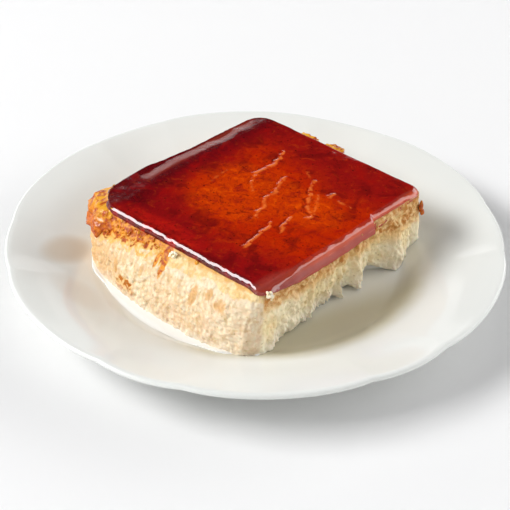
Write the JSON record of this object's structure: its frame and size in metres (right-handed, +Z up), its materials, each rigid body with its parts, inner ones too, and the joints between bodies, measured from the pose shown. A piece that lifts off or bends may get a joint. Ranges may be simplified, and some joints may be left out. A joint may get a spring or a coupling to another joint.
{
  "type": "tres leches cake slice on a plate",
  "caption": "Thick square slice of milk-soaked sponge under a glossy caramel sheet, standing in its milk on a white scalloped dessert plate.",
  "frame": {"origin": "centre of the plate's foot ring, on the table", "axes": "+Z up; X along the slice's shorter side and Y along its longer one; the cleanly cut side faces -Y and the torn side +X"},
  "size_m": [0.1932, 0.1936, 0.036],
  "materials": {
    "porcelain": "white glaze, glossy, faintly grey-green",
    "soaked_sponge": "porous, moist, cream to light tan crumb",
    "caramel": "set caramel, dark red-brown, very glossy, slightly clear",
    "milk": "thin sweet milk, glossy, off-white"
  },
  "bodies": {
    "root": {"plate": "porcelain", "sponge": "soaked_sponge", "caramel": "caramel", "milk_front": "milk", "milk_right": "milk", "milk_back": "milk", "milk_left": "milk"}
  },
  "joints": []
}
